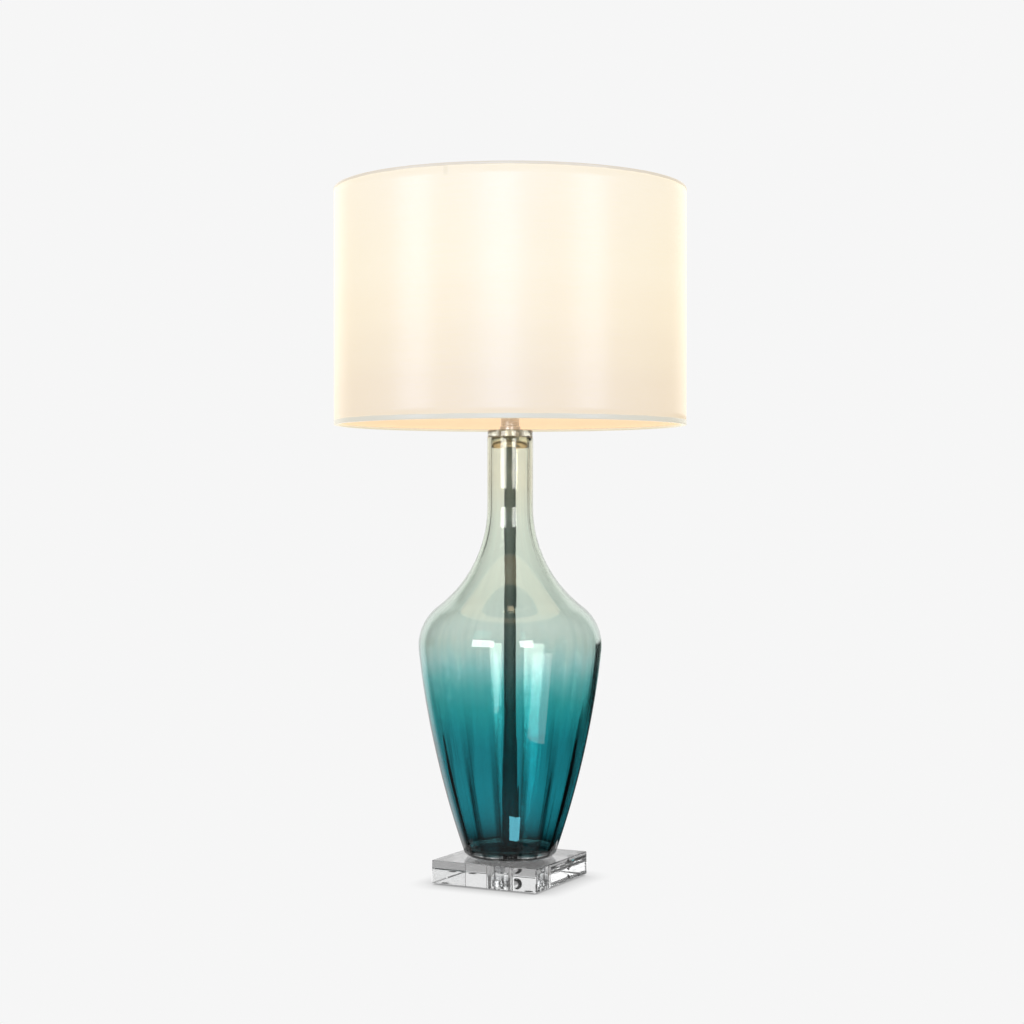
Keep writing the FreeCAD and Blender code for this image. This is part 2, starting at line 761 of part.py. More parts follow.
def hem(edge_z, way, outer_leg):
    """Tape folded over a wire ring and the edge of the shade's wall. way is 1 at the top and -1 below."""
    inner = SHADE_R - HEM_DEPTH
    outer_end = edge_z - way * outer_leg
    inner_end = edge_z - way * HEM_INNER_LEG
    bend_z = edge_z - way * HEM_BEND
    tape_z = edge_z - way * HEM_TAPE
    return turned([
        (SHADE_R, outer_end), (SHADE_R, bend_z), (SHADE_R - HEM_BEND, edge_z), (inner + HEM_BEND, edge_z),
        (inner, bend_z), (inner, inner_end), (inner + HEM_TAPE, inner_end), (inner + HEM_TAPE, tape_z),
        (SHADE_R - HEM_TAPE, tape_z), (SHADE_R - HEM_TAPE, outer_end),
    ])


def shade_top_hem():
    return hem(SHADE_TOP, 1, HEM_TOP)


def shade_bottom_hem():
    return hem(SHADE_BOTTOM, -1, HEM_BOTTOM)


def shade_seam():
    outer = SHADE_R - 0.1
    low = SHADE_BOTTOM + HEM_BOTTOM + SEAM_GAP
    high = SHADE_TOP - HEM_TOP - SEAM_GAP
    spread = math.degrees(SEAM_WIDTH / outer)
    points = [(outer - SEAM_H, low), (outer, low), (outer, high), (outer - SEAM_H, high)]
    face = Part.Face(Part.Wire([line(a, b) for a, b in zip(points, points[1:] + points[:1])]))
    strip = face.revolve(V(0, 0, 0), UP, spread)
    strip.rotate(V(0, 0, 0), UP, SEAM_DEG - spread / 2)
    return strip


def spider():
    low = HARP_SEAT_Z + 0.05
    level = low + SPIDER_HUB_H / 2
    rise = SHADE_R - SPIDER_INSET
    ring_foot = SHADE_TOP - SKIN_END - 2 * RING_WIRE_R
    path = rounded_path([(SPIDER_HUB_R - 2.5, level), (rise, level), (rise, ring_foot)], [SPIDER_BEND])
    arm = wire_along(path, SPIDER_WIRE_R)
    hub = ring(SPIDER_HOLE_R, SPIDER_HUB_R, low, low + SPIDER_HUB_H)
    return fused([hub] + around(arm, SPIDER_ARMS, SPIDER_DEG))


# Finial ----------------------------------------------------------------------------------------

def finial_insert():
    return ring(STUD_R + STUD_FIT, INSERT_R, FINIAL_Z, FINIAL_Z + INSERT_H)


def finial():
    low = FINIAL_Z
    bore = INSERT_R + 0.05
    bore_top = low + INSERT_H + 0.1
    neck_r = FINIAL_NECK_R
    ball_z = low + FINIAL_BALL_RISE
    ball_deg = -math.degrees(math.acos(neck_r / FINIAL_BALL_R))
    rim = low + 1.6
    waist = low + 5.0
    edges = [
        line((bore, low), (FINIAL_BASE_R, low)),
        line((FINIAL_BASE_R, low), (FINIAL_BASE_R, rim)),
        arc_through((FINIAL_BASE_R, rim), (5.5, (rim + waist) / 2), (neck_r, waist)),
        line((neck_r, waist), polar((0, ball_z), FINIAL_BALL_R, ball_deg)),
        arc((0, ball_z), FINIAL_BALL_R, ball_deg, 90),
        line((0, ball_z + FINIAL_BALL_R), (0, bore_top)),
        line((0, bore_top), (bore, bore_top)),
        line((bore, bore_top), (bore, low)),
    ]
    return revolved(edges)


NODES = {
    "base_block": base_block,
    "base_feet": base_feet,
    "base_plug": base_plug,
    "base_washer": base_washer,
    "base_lock_washer": base_lock_washer,
    "base_nut": base_nut,
    "cord_grommet": cord_grommet,
    "body_gasket": body_gasket,
    "glass_body": glass_body,
    "bottom_bush": bottom_bush,
    "threaded_rod": threaded_rod,
    "rod_sleeve": rod_sleeve,
    "cap_gasket": cap_gasket,
    "neck_cap": neck_cap,
    "neck_tube": neck_tube,
    "neck_collar": neck_collar,
    "tube_washer": tube_washer,
    "harp_saddle": harp_saddle,
    "saddle_nut": saddle_nut,
    "harp_loop": harp_loop,
    "harp_clip": harp_clip,
    "ferrule_left": lambda: ferrule(-1),
    "ferrule_right": lambda: ferrule(1),
    "harp_swivel": harp_swivel,
    "socket_cap": socket_cap,
    "socket_screw": socket_screw,
    "socket_shell": socket_shell,
    "socket_insulator": socket_insulator,
    "socket_body": socket_body,
    "terminal_screws": terminal_screws,
    "socket_screw_shell": socket_screw_shell,
    "socket_contact": socket_contact,
    "switch_shaft": switch_shaft,
    "switch_knob": switch_knob,
    "bulb_contact": bulb_contact,
    "bulb_insulator": bulb_insulator,
    "bulb_base": bulb_base,
    "bulb_glass": bulb_glass,
    "bulb_stem": bulb_stem,
    "shade_liner": shade_liner,
    "shade_fabric": shade_fabric,
    "top_ring": top_ring,
    "bottom_ring": bottom_ring,
    "shade_top_hem": shade_top_hem,
    "shade_bottom_hem": shade_bottom_hem,
    "shade_seam": shade_seam,
    "spider": spider,
    "finial_insert": finial_insert,
    "finial": finial,
}


def main():
    os.makedirs("parts", exist_ok=True)
    for name, make in NODES.items():
        shape = make()
        solids = shape.Solids
        if not solids or not all(s.isValid() and s.Volume > 0 for s in solids):
            raise ValueError(f"{name} is not made of valid solids")
        kept = solids[0] if len(solids) == 1 else Part.makeCompound(solids)
        kept.exportStep(f"parts/{name}.step")
        print(f"{name}: {len(solids)} solid(s), {shape.Volume / 1000:.2f} cm3")


main()
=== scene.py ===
import json
import math

import bmesh
import bpy
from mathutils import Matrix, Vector


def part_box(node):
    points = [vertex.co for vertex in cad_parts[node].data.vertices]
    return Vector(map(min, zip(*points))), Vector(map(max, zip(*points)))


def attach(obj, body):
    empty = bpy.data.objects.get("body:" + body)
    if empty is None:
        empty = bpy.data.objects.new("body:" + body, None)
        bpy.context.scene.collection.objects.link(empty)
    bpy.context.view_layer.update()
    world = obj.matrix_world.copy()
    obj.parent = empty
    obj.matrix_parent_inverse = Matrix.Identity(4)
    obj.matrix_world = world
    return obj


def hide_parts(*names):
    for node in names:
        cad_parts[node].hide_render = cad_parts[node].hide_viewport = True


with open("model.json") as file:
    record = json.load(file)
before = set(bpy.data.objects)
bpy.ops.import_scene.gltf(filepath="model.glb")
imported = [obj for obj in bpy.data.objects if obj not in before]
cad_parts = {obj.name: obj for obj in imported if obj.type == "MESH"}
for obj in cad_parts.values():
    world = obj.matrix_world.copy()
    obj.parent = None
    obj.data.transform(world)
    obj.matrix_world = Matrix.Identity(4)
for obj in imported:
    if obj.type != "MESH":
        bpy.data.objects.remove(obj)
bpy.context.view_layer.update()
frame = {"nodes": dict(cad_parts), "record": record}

MM = 0.001

# Camera: a 70 mm lens a little over two metres away, level with the neck of the lamp
CAMERA_AZIMUTH = 27.2
CAMERA_DISTANCE = 2160 * MM
CAMERA_HEIGHT = 408.7 * MM
AIM_HEIGHT = 399.4 * MM
AIM_ASIDE = 2.0 * MM
LENS = 70
SENSOR = 36

# Glass body: the same tangent arcs as the part's own outline
GLASS_WALL = 5.0 * MM
GLASS_FLOOR = 9.5 * MM
GLASS_HOLE_R = 6.2 * MM
LIP_R = 1.2 * MM
NECK_R = 24.9 * MM
NECK_START_Z = 405.0 * MM
FLARE_R = 135.0 * MM
BELLY_R = 99.4 * MM
BELLY_Z = 255.0 * MM
SIDE_R = 960.0 * MM
SIDE_START_DEG = 6.0
FOOT_CORNER_R = 9.0 * MM
FLOOR_CORNER_R = 6.0 * MM
# Steps between the outline's points: at most about 6 mm along each stretch
NECK_STEP = 6.0 * MM
FLOOR_STEP = 5.0 * MM
FLARE_STEP_DEG = 2.0
SHOULDER_STEP_DEG = 2.5
SIDE_STEP_DEG = 0.35
CORNER_STEP_DEG = 8.0
LIP_STEP_DEG = 15.0

# Optic facets blown into the lower half of the glass
FACETS = 16
FACET_STEPS = 16
FACET_LOW_Z = 85.0 * MM
FACET_HIGH_Z = 225.0 * MM
FACET_TURN = math.radians(CAMERA_AZIMUTH - 90)
# Share of the flattening that shows on the outer wall
FACET_OUTSIDE = 0.4
# Painted shade: darker streaks along the edges between the facets, where the facets bend light away. They are
# full at the low height and gone at the high one. A streak starts and is full at these cosines of FACETS
# times the angle from the middle of a facet.
EDGE_LOW_Z = 100.0 * MM
EDGE_HIGH_Z = 205.0 * MM
EDGE_SIDES = (-0.25, -1.0)
EDGE_SHADE_DEPTH = 0.85

# Shade's walls and the tapes folded over its edges
SHADE_STEPS = 384
SKIN_STEP = 12.0 * MM
SKIN = 0.5 * MM
THREAD = 0.3 * MM
TAPE = 0.45 * MM
HEM_DEPTH = 5.0 * MM
HEM_STEP_DEG = 18.0
HEM_BEND_R = 1.1 * MM
HEM_TOP_LEG = 3.2 * MM
HEM_BOTTOM_LEG = 5.2 * MM
HEM_INNER_LEG = 2.8 * MM
HEM_LIP = 0.15 * MM
CUT_REACH = 2.0 * MM
# Waves round the drum and along a tape's cut edge: (size, waves in a turn, start in radians)
DRUM_WAVES = [(0.12 * MM, 3, 0.4), (0.072 * MM, 7, 1.1), (0.048 * MM, 16, 0.0)]
DRUM_REACH = sum(size for size, count, start in DRUM_WAVES)
CUT_WAVES = [(0.12 * MM, 23, 2.0), (0.08 * MM, 61, 0.0)]
# Seam: it thins to SEAM_EDGE of its height over the last SEAM_SOFT of the way out to each side, and stays
# SEAM_SUNK below the tapes
SEAM_STEPS = 24
SEAM_RISE_STEP = 10.0 * MM
SEAM_SUNK = 0.1 * MM
SEAM_SOFT = 0.15
SEAM_EDGE = 0.3
SEAM_GLUE = 0.02 * MM
# Painted shadows of the spider arms' upright ends behind the cloth. A shadow starts and is full at these
# cosines of SPIDER_ARMS times the angle from an arm.
SPIDER_ARMS = 3
SPIDER_DEG = -82.5
SPIDER_LEG = 12.0 * MM
SPIDER_SHADOW_SIDES = (0.9990, 0.9998)
SPIDER_SHADOW_SOFT = 2.0 * MM
SPIDER_SHADOW_DEPTH = 0.10

# Brightness of the room, the floors and the bulb, in the scene's own linear units
PALE = 0.9225
ROOM_FRONT = 0.10
ROOM_FLOOR = 0.32
ROOM_DARK = 0.02
SHADED_PAPER = 0.46
CONTACT_SHADOW = 0.3
BULB_GLOW = 2.5
# Soft edges of the room's parts: how far a direction points away from the camera, to its right, or up
BACKDROP_EDGE = (0.65, 0.80)
RIGHT_EDGE = (0.22, 0.34)
HORIZON = (-0.01, -0.05)
FLOOR_EDGE = (-0.55, -0.70)
# Radii of the rings that each floor is made from, in metres
FLOOR_RINGS = (0.0005, 0.6, 2, 60)
SHADED_RINGS = (0.0005, 0.25)
FLOOR_STEPS = 96
SHADOW_REACH = 30.0 * MM

# Lights, by what they light: (name, degrees round the lamp from the camera towards its right, distance,
# lowest point, highest point, width, brightness, colour). Lengths are in metres.
WINDOW_DISTANCE = 2.0
BASE_BACK = 125.6
WHITE = (1.0, 1.0, 1.0)
SATIN_SKY = (0.575, 0.70, 1.0)
FILL_BLUE = (0.03, 0.40, 1.0)
GLINT_BLUE = (0.2, 0.8, 1.0)
SATIN_LIGHTS = [
    ("band_left", -61.8, 2.6, 0.2, 1.5, 0.45, 8.0, SATIN_SKY),
    ("band_middle", -6.6, 2.8, 0.2, 1.5, 0.40, 8.0, SATIN_SKY),
    ("band_right", 50, 2.6, 0.2, 1.5, 0.45, 8.0, SATIN_SKY),
    ("front_fill", -5, 2.7, 0.0, 1.6, 2.0, 1.1, FILL_BLUE),
]
WINDOW_LIGHTS = [
    ("window_left", -34, WINDOW_DISTANCE, 0.44, 1.0, 1.0, 8.0, WHITE),
    ("window_middle", 20, WINDOW_DISTANCE, 0.44, 1.0, 0.6, 8.0, WHITE),
]
VASE_LIGHTS = [
    ("strip_low", -18, WINDOW_DISTANCE, -0.7, 0.06, 0.22, 2.6, WHITE),
    ("panel", 40, WINDOW_DISTANCE, -0.9, -0.02, 0.9, 2.2, WHITE),
    ("floor_glint", 6.4, 0.72, -0.625, -0.503, 0.19, 12.0, GLINT_BLUE),
]
BASE_LIGHTS = [
    ("base_back_high", BASE_BACK, WINDOW_DISTANCE, 0.05, 1.0, 1.7, 0.8, WHITE),
    ("base_back_low", BASE_BACK, WINDOW_DISTANCE, -0.9, 0.05, 1.7, 0.35, WHITE),
    ("base_side", -54.5, WINDOW_DISTANCE, 0.05, 1.2, 1.6, 1.5, WHITE),
]
CAP_LIGHTS = [("cap_fill", 0, 1.2, -0.6, 1.5, 2.5, 1.1, WHITE)]

# Clear materials
GLASS_IOR = 1.5
GLASS_SMEAR = 0.02
ACRYLIC_IOR = 1.49
CRYSTAL_CLEAR = 0.97

# Colours, in linear light. The vase's tints run from the foot up: (height in mm, colour of the light that has
# gone through). The straw colour towards the neck is partly the glass's tint and partly painted warm light
# from the lit shade above. Clouds and veins move them up or down by up to half these heights, from
# TINT_STEADY up.
TINT_TOP = 480.0 * MM
TINT_CLOUDS = 26.0 * MM
TINT_VEINS = 22.0 * MM
TINT_STEADY = (60.0 * MM, 160.0 * MM)
GLASS_TINTS_AND_NECK_GLOW = [
    (34.2, (0.96, 0.97, 0.965)),
    (34.6, (0.001, 0.006, 0.007)),
    (38, (0.001, 0.009, 0.010)),
    (44, (0.002, 0.035, 0.045)),
    (60, (0.008, 0.160, 0.200)),
    (88, (0.012, 0.240, 0.295)),
    (130, (0.011, 0.225, 0.270)),
    (152, (0.011, 0.245, 0.285)),
    (174, (0.019, 0.330, 0.350)),
    (195, (0.038, 0.363, 0.363)),
    (217, (0.140, 0.500, 0.490)),
    (239, (0.414, 0.683, 0.645)),
    (260, (0.578, 0.732, 0.645)),
    (271, (0.660, 0.800, 0.720)),
    (304, (0.700, 0.810, 0.700)),
    (391, (0.850, 0.915, 0.765)),
    (435, (0.930, 0.905, 0.700)),
]
SATIN = (0.42, 0.41, 0.39)
SATIN_SHINE = 0.5
TAPE_WHITE = (0.50, 0.49, 0.47)
TAPE_SHINE = 0.4
# Glow of the lit shade, as (share of its height, colour)
CLOTH_GLOWS = [
    (0.0, (0.76, 0.615, 0.415)),
    (0.13, (0.775, 0.63, 0.425)),
    (0.28, (0.81, 0.67, 0.45)),
    (0.45, (0.845, 0.71, 0.48)),
    (0.62, (0.86, 0.74, 0.515)),
    (1.0, (0.86, 0.745, 0.54)),
]
SEAM_GLOWS = [(0.0, (0.60, 0.48, 0.35)), (1.0, (0.68, 0.60, 0.48))]
HEM_GLOWS = [(0.0, (0.57, 0.52, 0.38)), (1.0, (0.62, 0.52, 0.36))]
LINER_GLOWS = [(0.0, (0.82, 0.58, 0.38)), (0.5, (0.90, 0.66, 0.42)), (1.0, (0.90, 0.68, 0.44))]
BULB_GLOWS = [(0.0, (0.75, 0.45, 0.22)), (0.35, (1.0, 0.80, 0.55)), (1.0, (1.0, 0.86, 0.66))]


# Geometry --------------------------------------------------------------------------------------

def polar(centre, radius, degrees):
    """Point at an angle on a circle in the radius-height plane."""
    turn = math.radians(degrees)
    return (centre[0] + radius * math.cos(turn), centre[1] + radius * math.sin(turn))


def arc(centre, radius, start, end, step):
    """Points along a circular arc, both ends included."""
    count = max(2, math.ceil(abs(end - start) / step))
    return [polar(centre, radius, start + (end - start) * i / count) for i in range(count + 1)]


def straight(a, b, step):
    """Points from a to b, a left out, no further apart than step."""
    count = max(1, math.ceil(math.dist(a, b) / step))
    shares = [i / count for i in range(1, count + 1)]
    return [(a[0] + (b[0] - a[0]) * t, a[1] + (b[1] - a[1]) * t) for t in shares]


def smooth(value):
    """0 to 1 with level ends."""
    share = min(1, max(0, value))
    return share * share * (3 - 2 * share)


def waves(rows, turn):
    """Sum of sine waves round the turn."""
    return sum(size * math.sin(count * turn + start) for size, count, start in rows)


def new_object(name, mesh):
    obj = bpy.data.objects.new(name, mesh)
    bpy.context.scene.collection.objects.link(obj)
    return obj


def face_outwards(mesh):
    shell = bmesh.new()
    shell.from_mesh(mesh)
    bmesh.ops.recalc_face_normals(shell, faces=shell.faces)
    shell.to_mesh(mesh)
    shell.free()
    mesh.shade_smooth()


def revolve(name, outline, segments, bend=None, closed=True, start=0.0, spread=2 * math.pi):
    """Mesh of revolution about Z from (radius, height) points. bend(index, r, z, turn) moves a point.
    With a spread under a full turn it is a strip with its two ends closed."""
    whole = spread == 2 * math.pi
    columns = segments if whole else segments + 1
    vertices = []
    for i in range(columns):
        turn = start + spread * i / segments
        for j, (r, z) in enumerate(outline):
            if bend:
                r, z = bend(j, r, z, turn)
            vertices.append((r * math.cos(turn), r * math.sin(turn), z))
    rows = len(outline)
    faces = []
    for i in range(segments):
        here, there = i * rows, (i + 1) % columns * rows
        for j in range(rows if closed else rows - 1):
            up = (j + 1) % rows
            faces.append((here + j, there + j, there + up, here + up))
    if not whole:
        last = segments * rows
        faces += [tuple(range(rows)), tuple(last + j for j in reversed(range(rows)))]
    mesh = bpy.data.meshes.new(name)
    mesh.from_pydata(vertices, [], faces)
    face_outwards(mesh)
    return new_object(name, mesh)


# Materials -------------------------------------------------------------------------------------

class Finish:
    """A Principled material with short ways to add nodes."""

    def __init__(self, name, **values):
        self.material = bpy.data.materials.new(name)
        self.material.use_nodes = True
        self.tree = self.material.node_tree
        self.shader = self.tree.nodes["Principled BSDF"]
        for socket, value in values.items():
            self.shader.inputs[socket.replace("_", " ")].default_value = value

    def add(self, kind, inputs=None, **settings):
        """New node. An input may be a number, a colour, or another node's output socket."""
        node = self.tree.nodes.new(kind)
        for key, value in settings.items():
            setattr(node, key, value)
        for key, value in (inputs or {}).items():
            if isinstance(value, bpy.types.NodeSocket):
                self.tree.links.new(value, node.inputs[key])
            else:
                node.inputs[key].default_value = value
        return node

    def maths(self, operation, a, b=0.0, c=0.0):
        return self.add("ShaderNodeMath", {0: a, 1: b, 2: c}, operation=operation).outputs[0]

    def vector(self, operation, a, b=(0, 0, 0)):
        return self.add("ShaderNodeVectorMath", {0: a, 1: b}, operation=operation).outputs[0]

    def place(self):
        """The part's own coordinates, in metres."""
        return self.add("ShaderNodeTexCoord").outputs["Object"]

    def axis(self, letter):
        return self.add("ShaderNodeSeparateXYZ", {0: self.place()}).outputs[letter]

    def turn(self):
        """Angle about the lamp's axis, in radians."""
        return self.maths("ARCTAN2", self.axis("Y"), self.axis("X"))

    def step(self, value, low, high):
        """0 below low and 1 above high, smooth between."""
        inputs = {"Value": value, "From Min": low, "From Max": high}
        return self.add("ShaderNodeMapRange", inputs, interpolation_type="SMOOTHSTEP").outputs[0]

    def noise(self, size, detail=2.0, stretch=(1, 1, 1)):
        """Noise with features of about the given size in metres, drawn out where stretch is below 1."""
        where = self.vector("MULTIPLY", self.place(), stretch)
        return self.noise_at(where, 1 / size, detail)

    def noise_at(self, where, scale, detail):
        inputs = {"Vector": where, "Scale": scale, "Detail": detail}
        return self.add("ShaderNodeTexNoise", inputs).outputs["Fac"]

    def streaks(self, count, length):
        """Noise drawn out along the height, with about count streaks round the lamp's axis."""
        flat = self.vector("MULTIPLY", self.place(), (1, 1, 0))
        way = self.vector("NORMALIZE", flat)
        rise = self.vector("MULTIPLY", self.place(), (0, 0, 2 * math.pi / (count * length)))
        return self.noise_at(self.vector("ADD", way, rise), count / (2 * math.pi), 2.0)

    def ramp(self, factor, stops, interpolation="EASE"):
        """Colour ramp from (position, colour) stops."""
        node = self.add("ShaderNodeValToRGB", {0: factor})
        node.color_ramp.interpolation = interpolation
        elements = node.color_ramp.elements
        while len(elements) < len(stops):
            elements.new(0.5)
        for element, (position, colour) in zip(elements, stops):
            element.position = position
            element.color = (*colour, 1)
        return node.outputs[0]

    def tinted(self, colour, factor):
        """A colour multiplied by a number."""
        grey = self.add("ShaderNodeCombineXYZ", {0: factor, 1: factor, 2: factor})
        return self.vector("MULTIPLY", colour, grey.outputs[0])

    def bump(self, height, distance):
        node = self.add("ShaderNodeBump", {"Height": height, "Distance": distance, "Strength": 1.0})
        self.link("Normal", node.outputs[0])

    def link(self, socket, value):
        self.tree.links.new(value, self.shader.inputs[socket])

    def roughen(self, pattern, low, high):
        self.link("Roughness", self.maths("MULTIPLY_ADD", pattern, high - low, low))


def paint(obj, *finishes):
    obj.data.materials.clear()
    for finish in finishes:
        obj.data.materials.append(finish.material)


def clear_glass(name, colour, clear=1.0):
    """Polished glass with a faint pull to its surface and a trace of handling marks."""
    finish = Finish(name, IOR=GLASS_IOR, Transmission_Weight=clear)
    cloud = finish.noise(30 * MM, 3.0)
    pale = tuple(min(1.0, c * 1.01) for c in colour)
    finish.link("Base Color", finish.ramp(cloud, [(0.35, colour), (0.65, pale)]))
    finish.roughen(finish.step(finish.noise(9 * MM, 4.0), 0.55, 0.75), 0.0, GLASS_SMEAR)
    finish.bump(finish.noise(14 * MM, 1.0), 0.02 * MM)
    return finish


def crystal_block():
    """Clear acrylic or crystal base: polished faces with a little haze and fine wiping scratches."""
    finish = Finish("crystal", Base_Color=(0.97, 0.975, 0.975, 1), IOR=ACRYLIC_IOR)
    haze = finish.noise(16 * MM, 4.0)
    finish.link("Transmission Weight", finish.maths("MULTIPLY_ADD", haze, -0.06, CRYSTAL_CLEAR))
    scratch = finish.step(finish.noise(0.9 * MM, 5.0, (1, 0.05, 0.3)), 0.62, 0.7)
    finish.roughen(scratch, 0.008, 0.08)
    finish.bump(scratch, 0.01 * MM)
    return finish


def soft_vinyl():
    """Slightly cloudy, slightly uneven moulded vinyl."""
    finish = Finish("clear_vinyl", IOR=GLASS_IOR, Transmission_Weight=0.75)
    mottle = finish.noise(2 * MM, 3.0)
    finish.link("Base Color", finish.ramp(mottle, [(0.3, (0.86, 0.87, 0.86)), (0.7, (0.93, 0.94, 0.93))]))
    finish.roughen(mottle, 0.15, 0.35)
    finish.bump(mottle, 0.05 * MM)
    return finish


def painted_facet_shade(finish):
    """1, or less for the painted shade along the edges between the blown facets, where they bend light away.
    """
    turn = finish.maths("SUBTRACT", finish.turn(), FACET_TURN)
    facing = finish.maths("COSINE", finish.maths("MULTIPLY", turn, FACETS))
    edge = finish.step(facing, *EDGE_SIDES)
    lower = finish.step(finish.axis("Z"), EDGE_HIGH_Z, EDGE_LOW_Z)
    return finish.maths("MULTIPLY_ADD", finish.maths("MULTIPLY", edge, lower), -EDGE_SHADE_DEPTH, 1.0)


def teal_skin():
    """Outside of the vase: clear foot, deep teal above it, and a pale straw colour in the neck, partly the
    glass's tint and partly painted warm light from the lit shade above.
    """
    finish = Finish("teal_glass_outer", Roughness=0.0, IOR=GLASS_IOR, Transmission_Weight=1.0)
    z = finish.axis("Z")
    cloud = finish.maths("SUBTRACT", finish.noise(50 * MM, 3.0), 0.5)
    veins = finish.maths("SUBTRACT", finish.streaks(60, 160 * MM), 0.5)
    sway = finish.maths("MULTIPLY_ADD", cloud, TINT_CLOUDS, finish.maths("MULTIPLY", veins, TINT_VEINS))
    sway = finish.maths("MULTIPLY", sway, finish.step(z, *TINT_STEADY))
    height = finish.maths("DIVIDE", finish.maths("ADD", z, sway), TINT_TOP)
    # The straw stops towards the neck are partly painted warm light from the lit shade.
    stops = [(h * MM / TINT_TOP, colour) for h, colour in GLASS_TINTS_AND_NECK_GLOW]
    tint = finish.ramp(height, stops, "LINEAR")
    depth = finish.maths("MULTIPLY_ADD", finish.streaks(90, 300 * MM), -0.16, 1.08)
    # The tint is darkened by the painted shade along the facet edges.
    finish.link("Base Color", finish.tinted(tint, finish.maths("MULTIPLY", depth, painted_facet_shade(finish))))
    finish.bump(finish.streaks(40, 260 * MM), 0.10 * MM)
    return finish


def inner_glass():
    """Inside of the vase: clear, with long fine striations from blowing."""
    finish = Finish("teal_glass_inner", Roughness=0.0, IOR=GLASS_IOR, Transmission_Weight=1.0)
    veins = finish.streaks(120, 300 * MM)
    finish.link("Base Color", finish.ramp(veins, [(0.3, (0.93, 0.95, 0.95)), (0.7, (0.99, 0.99, 0.985))]))
    finish.bump(finish.streaks(70, 220 * MM), 0.16 * MM)
    return finish


def polished_metal(name, colour, low, high):
    """Plated metal: soft smears in the shine, with sparse hairline scratches."""
    finish = Finish(name, Metallic=1.0)
    smear = finish.noise(10 * MM, 4.0)
    dull = tuple(c * 0.93 for c in colour)
    finish.link("Base Color", finish.ramp(smear, [(0.35, dull), (0.65, colour)]))
    hair = finish.step(finish.noise(1.1 * MM, 4.0, (1, 1, 0.06)), 0.63, 0.72)
    finish.roughen(finish.maths("MULTIPLY_ADD", smear, 0.6, finish.maths("MULTIPLY", hair, 0.4)), low, high)
    finish.bump(hair, 0.004 * MM)
    return finish


def brushed_metal(name, colour, low, high):
    """Drawn or brushed metal with its grain running level round the part."""
    finish = Finish(name, Metallic=1.0)
    lines = finish.noise(0.35 * MM, 3.0, (0.04, 0.04, 1))
    stain = finish.noise(6 * MM, 4.0)
    dull = tuple(c * 0.82 for c in colour)
    worn = finish.maths("MULTIPLY_ADD", stain, 0.6, finish.maths("MULTIPLY", lines, 0.4))
    finish.link("Base Color", finish.ramp(worn, [(0.3, dull), (0.7, colour)]))
    finish.roughen(lines, low, high)
    finish.bump(lines, 0.02 * MM)
    return finish


def plain_surface(name, colour, low, high, size=2.5 * MM, depth=0.04 * MM):
    """Moulded, pressed or coated surface: a fine mottle in colour, shine and height."""
    finish = Finish(name)
    mottle = finish.noise(size, 5.0)
    dark = tuple(c * 0.88 for c in colour)
    finish.link("Base Color", finish.ramp(mottle, [(0.3, dark), (0.7, colour)]))
    finish.roughen(mottle, low, high)
    finish.bump(mottle, depth)
    return finish


def fibre_card():
    """Brown card with its fibres showing."""
    finish = Finish("card")
    fibre = finish.noise(0.8 * MM, 6.0, (1, 1, 0.25))
    finish.link("Base Color", finish.ramp(fibre, [(0.3, (0.16, 0.12, 0.08)), (0.7, (0.36, 0.29, 0.21))]))
    finish.roughen(fibre, 0.75, 0.95)
    finish.bump(fibre, 0.12 * MM)
    return finish


def share_of_height(finish, node):
    """0 at the bottom of a piece and 1 at its top."""
    low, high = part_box(node)
    return finish.maths("DIVIDE", finish.maths("SUBTRACT", finish.axis("Z"), low.z), high.z - low.z)


def frosted_bulb():
    """Inside-frosted envelope, bright in the globe and darker and redder towards the neck."""
    finish = Finish("frosted_bulb", Base_Color=(0.93, 0.91, 0.86, 1), Emission_Strength=BULB_GLOW)
    mottle = finish.noise(5 * MM, 3.0)
    finish.link("Emission Color", finish.ramp(share_of_height(finish, "bulb_glass"), BULB_GLOWS))
    finish.roughen(mottle, 0.3, 0.5)
    finish.bump(mottle, 0.03 * MM)
    return finish


def weave(finish):
    """Height of a fine satin weave: upright warp threads that float over the weft, with slubs."""
    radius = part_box("shade_fabric")[1].x
    warps = round(2 * math.pi * radius / THREAD)
    warp = finish.maths("SINE", finish.maths("MULTIPLY", finish.turn(), warps))
    weft = finish.maths("SINE", finish.maths("MULTIPLY", finish.axis("Z"), 2 * math.pi / THREAD))
    slub = finish.noise(0.5 * MM, 3.0, (1, 1, 0.03))
    threads = finish.maths("MULTIPLY_ADD", warp, 0.35, finish.maths("MULTIPLY", weft, 0.15))
    return finish.maths("ADD", threads, slub)


def painted_arm_shadows(finish):
    """1, or less for the painted shadow where the end of a spider arm stands behind the cloth."""
    leg_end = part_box("shade_fabric")[1].z - SPIDER_LEG
    turn = finish.maths("SUBTRACT", finish.turn(), math.radians(SPIDER_DEG))
    facing = finish.maths("COSINE", finish.maths("MULTIPLY", turn, SPIDER_ARMS))
    across = finish.step(facing, *SPIDER_SHADOW_SIDES)
    along = finish.step(finish.axis("Z"), leg_end - SPIDER_SHADOW_SOFT, leg_end + SPIDER_SHADOW_SOFT)
    return finish.maths("MULTIPLY_ADD", finish.maths("MULTIPLY", across, along), -SPIDER_SHADOW_DEPTH, 1.0)


